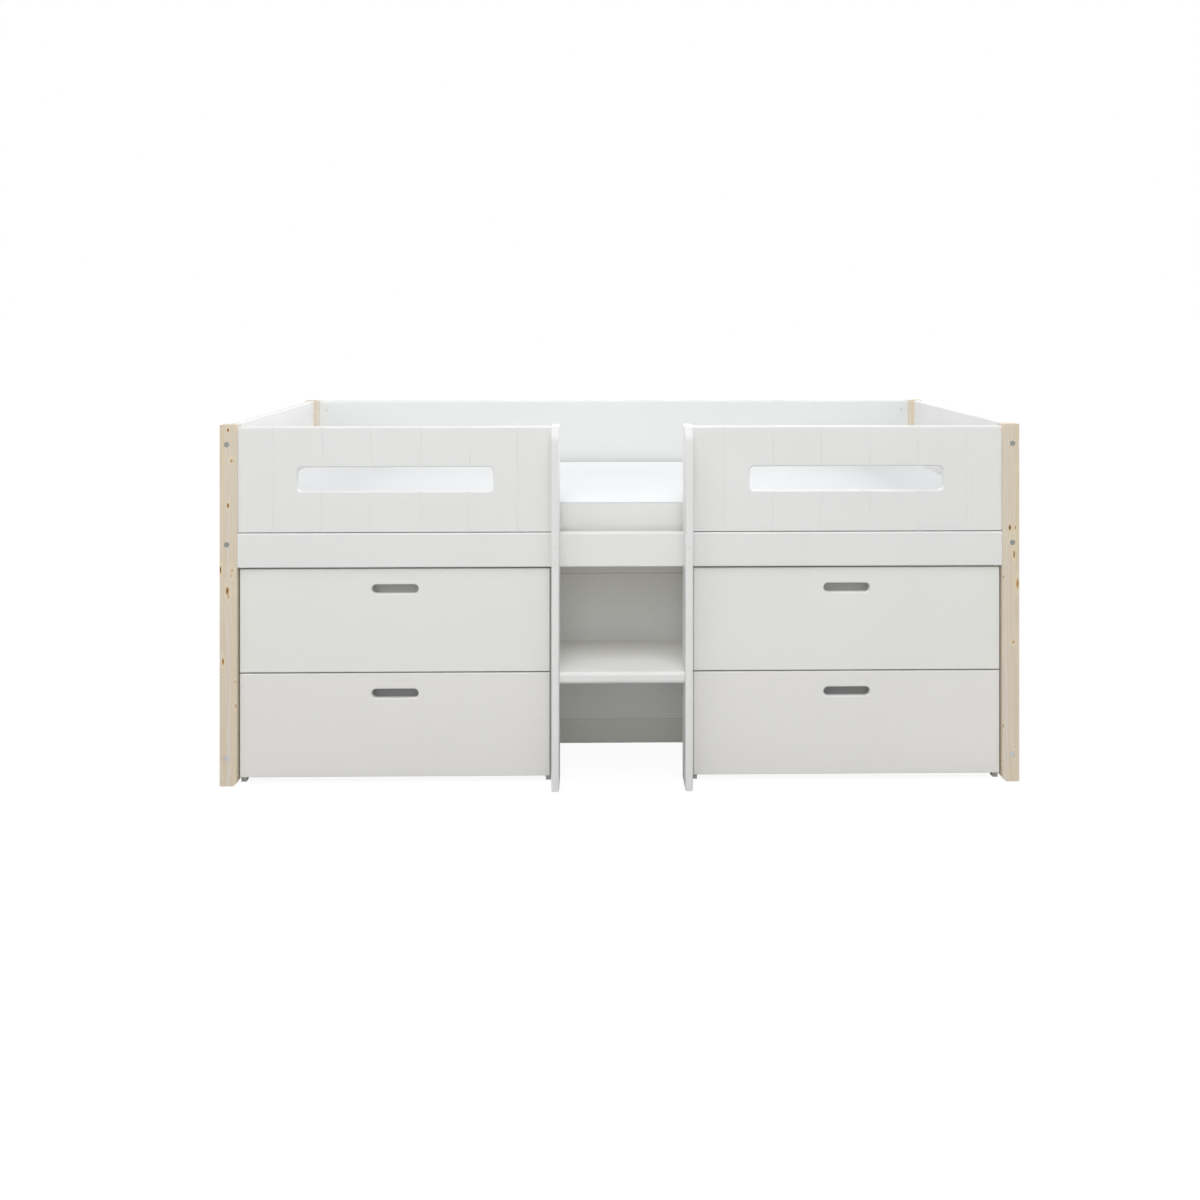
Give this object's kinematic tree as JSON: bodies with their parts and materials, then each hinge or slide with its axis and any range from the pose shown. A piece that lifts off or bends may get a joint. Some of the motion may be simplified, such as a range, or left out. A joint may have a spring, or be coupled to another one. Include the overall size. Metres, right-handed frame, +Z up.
{
  "type": "loft bed",
  "caption": "Half-high cabin bed with pine corner posts, grooved guards with window slots, a mattress, drawers that slide out and a short ladder with one deep step.",
  "frame": {"origin": "on the floor, under the middle of the bounding box in x and y", "axes": "+X along the bed to its right end as seen from the ladder side, +Y from the ladder side to the rear, +Z up"},
  "size_m": [2.09, 1.043, 0.938],
  "materials": {
    "pine_post": "satin whitewashed pine",
    "pine_slat": "planed pine",
    "pine_drawer": "planed pine",
    "beech_dowel": "raw beech",
    "white_lacquer": "satin white lacquer",
    "white_hardboard": "matt white film",
    "mattress_cover": "woven cotton",
    "runner_steel": "white powder coat",
    "zinc_steel": "zinc plated",
    "glide_plastic": "matt grey",
    "plug_plastic": "matt white"
  },
  "bodies": {
    "bed": {"front_left_post": "pine_post", "front_right_post": "pine_post", "rear_left_post": "pine_post", "rear_right_post": "pine_post", "front_bed_rail": "white_lacquer", "rear_bed_rail": "white_lacquer", "left_end_panel": "white_lacquer", "right_end_panel": "white_lacquer", "left_foot_rail": "white_lacquer", "right_foot_rail": "white_lacquer", "left_guard": "white_lacquer", "right_guard": "white_lacquer", "rear_guard": "white_lacquer", "slat_ledges": "pine_slat", "slats": "pine_slat", "mattress": "mattress_cover", "left_ladder_plank": "white_lacquer", "right_ladder_plank": "white_lacquer", "ladder_step": "white_lacquer", "niche_back": "white_lacquer", "niche_top_rail": "white_lacquer", "niche_foot_rail": "white_lacquer", "left_chest_outer_side": "white_lacquer", "left_chest_inner_side": "white_lacquer", "left_chest_top": "white_lacquer", "left_chest_base": "white_lacquer", "left_chest_back": "white_hardboard", "right_chest_outer_side": "white_lacquer", "right_chest_inner_side": "white_lacquer", "right_chest_top": "white_lacquer", "right_chest_base": "white_lacquer", "right_chest_back": "white_hardboard", "left_chest_runners": "runner_steel", "right_chest_runners": "runner_steel", "chest_glides": "glide_plastic", "frame_bolts": "zinc_steel", "ladder_bolts": "zinc_steel", "barrel_nuts": "zinc_steel", "ladder_screws": "zinc_steel", "screw_plugs": "plug_plastic", "guard_dowels": "beech_dowel"},
    "upper_left_drawer": {"upper_left_drawer_front": "white_lacquer", "upper_left_drawer_box": "pine_drawer", "upper_left_drawer_bottom": "white_hardboard", "upper_left_drawer_runners": "runner_steel"},
    "upper_right_drawer": {"upper_right_drawer_front": "white_lacquer", "upper_right_drawer_box": "pine_drawer", "upper_right_drawer_bottom": "white_hardboard", "upper_right_drawer_runners": "runner_steel"},
    "lower_left_drawer": {"lower_left_drawer_front": "white_lacquer", "lower_left_drawer_box": "pine_drawer", "lower_left_drawer_bottom": "white_hardboard", "lower_left_drawer_runners": "runner_steel"},
    "lower_right_drawer": {"lower_right_drawer_front": "white_lacquer", "lower_right_drawer_box": "pine_drawer", "lower_right_drawer_bottom": "white_hardboard", "lower_right_drawer_runners": "runner_steel"}
  },
  "joints": [
    {"name": "upper_left_drawer_slide", "type": "slide", "parent": "bed", "child": "upper_left_drawer", "axis": [0, -1, 0], "range_m": [0, 0.4]},
    {"name": "upper_right_drawer_slide", "type": "slide", "parent": "bed", "child": "upper_right_drawer", "axis": [0, -1, 0], "range_m": [0, 0.4]},
    {"name": "lower_left_drawer_slide", "type": "slide", "parent": "bed", "child": "lower_left_drawer", "axis": [0, -1, 0], "range_m": [0, 0.4]},
    {"name": "lower_right_drawer_slide", "type": "slide", "parent": "bed", "child": "lower_right_drawer", "axis": [0, -1, 0], "range_m": [0, 0.4]}
  ]
}
